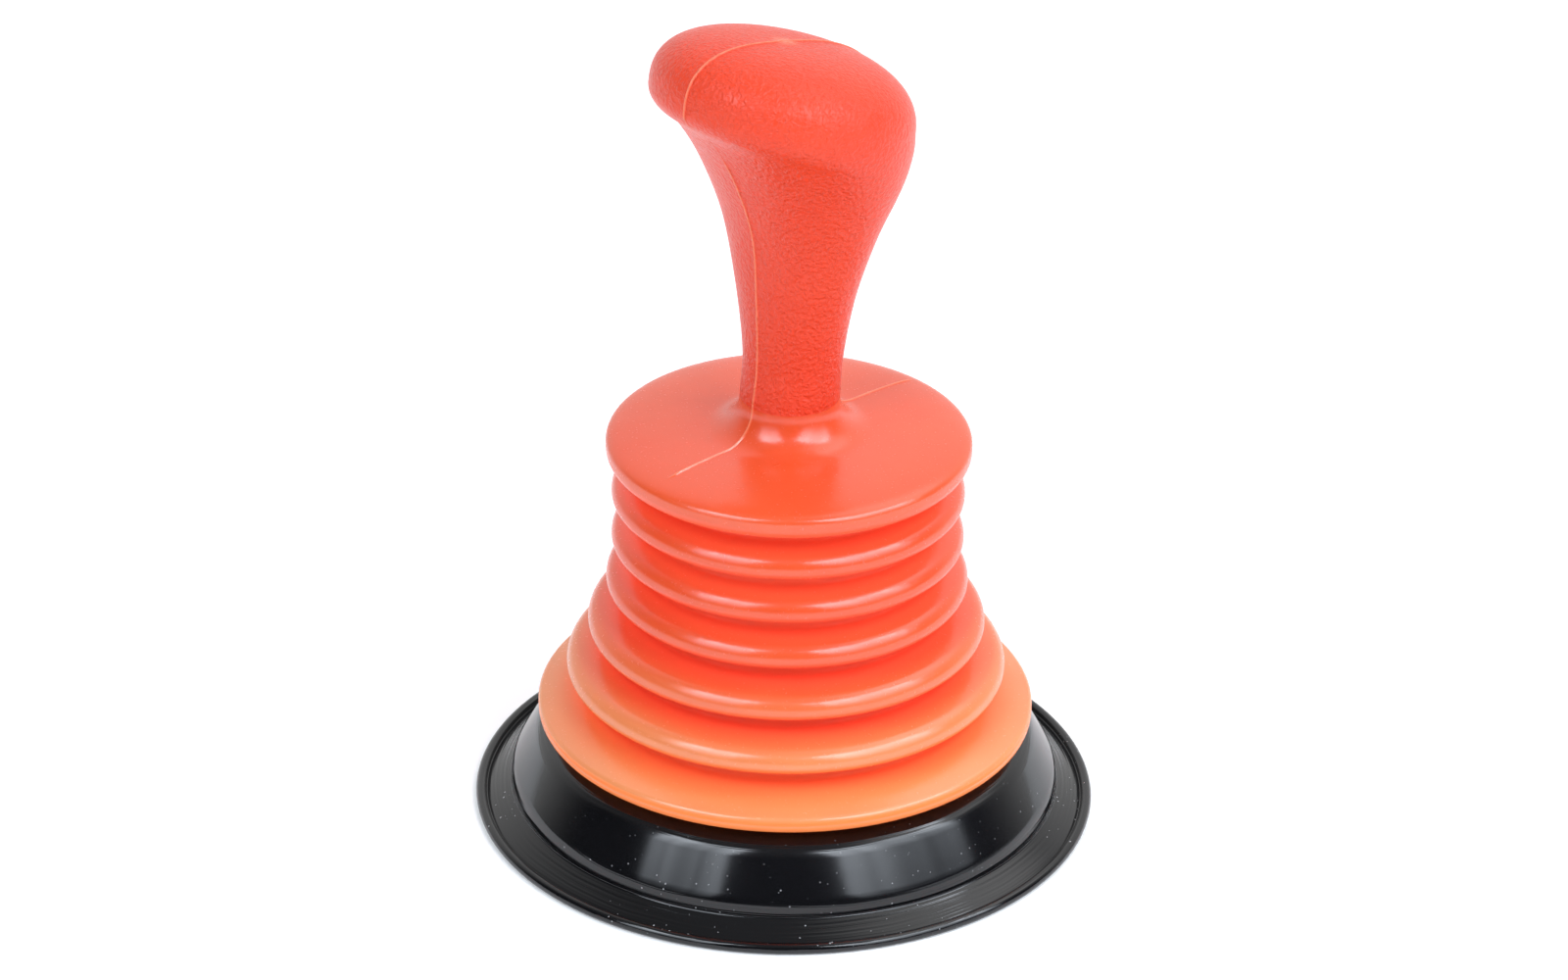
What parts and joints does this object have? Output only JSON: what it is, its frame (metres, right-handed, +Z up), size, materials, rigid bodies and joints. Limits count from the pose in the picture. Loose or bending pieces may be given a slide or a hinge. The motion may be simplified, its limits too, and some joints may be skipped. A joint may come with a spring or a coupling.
{
  "type": "toilet plunger",
  "caption": "Bellows toilet plunger: a palm grip, round plate and stepped bellows moulded in one, snapped into a wide domed rubber cup.",
  "frame": {"origin": "centre of the cup's rim, on the floor it stands on", "axes": "+Z up the pump's axis, -Y towards the nose of the grip, +X to the side"},
  "size_m": [0.18, 0.18, 0.2425],
  "materials": {
    "moulding": "satin, slightly translucent",
    "grip_grain": "fine spark-eroded grain",
    "rubber": "smooth, half gloss"
  },
  "bodies": {
    "cup": {"rubber_cup": "rubber", "bellows_base": "moulding", "web_0": "moulding"},
    "fold_1": {"crest_1": "moulding", "web_1": "moulding"},
    "fold_2": {"crest_2": "moulding", "web_2": "moulding"},
    "fold_3": {"crest_3": "moulding", "web_3": "moulding"},
    "fold_4": {"crest_4": "moulding", "web_4": "moulding"},
    "fold_5": {"crest_5": "moulding", "web_5": "moulding"},
    "fold_6": {"crest_6": "moulding", "web_6": "moulding"},
    "grip": {"top_plate": "moulding", "grip": "grip_grain"}
  },
  "joints": [
    {"name": "fold_1_travel", "type": "slide", "parent": "cup", "child": "fold_1", "axis": [0, 0, 1], "range_m": [-0.0015, 0.0005], "stiffness_N_per_m": 20000, "deforming": ["web_0"]},
    {"name": "fold_2_travel", "type": "slide", "parent": "fold_1", "child": "fold_2", "axis": [0, 0, 1], "range_m": [-0.0075, 0.0025], "stiffness_N_per_m": 4000, "deforming": ["web_1"]},
    {"name": "fold_3_travel", "type": "slide", "parent": "fold_2", "child": "fold_3", "axis": [0, 0, 1], "range_m": [-0.0075, 0.0025], "stiffness_N_per_m": 4000, "deforming": ["web_2"]},
    {"name": "fold_4_travel", "type": "slide", "parent": "fold_3", "child": "fold_4", "axis": [0, 0, 1], "range_m": [-0.0075, 0.0025], "stiffness_N_per_m": 4000, "deforming": ["web_3"]},
    {"name": "fold_5_travel", "type": "slide", "parent": "fold_4", "child": "fold_5", "axis": [0, 0, 1], "range_m": [-0.0075, 0.0025], "stiffness_N_per_m": 4000, "deforming": ["web_4"]},
    {"name": "fold_6_travel", "type": "slide", "parent": "fold_5", "child": "fold_6", "axis": [0, 0, 1], "range_m": [-0.0075, 0.0025], "stiffness_N_per_m": 4000, "deforming": ["web_5"]},
    {"name": "pump_stroke", "type": "slide", "parent": "fold_6", "child": "grip", "axis": [0, 0, 1], "range_m": [-0.0075, 0.0025], "stiffness_N_per_m": 4000, "deforming": ["web_6"]}
  ],
  "couplings": [
    {"joint": "fold_1_travel", "follows": "pump_stroke", "ratio": 0.2},
    {"joint": "fold_2_travel", "follows": "pump_stroke", "ratio": 1},
    {"joint": "fold_3_travel", "follows": "pump_stroke", "ratio": 1},
    {"joint": "fold_4_travel", "follows": "pump_stroke", "ratio": 1},
    {"joint": "fold_5_travel", "follows": "pump_stroke", "ratio": 1},
    {"joint": "fold_6_travel", "follows": "pump_stroke", "ratio": 1}
  ]
}
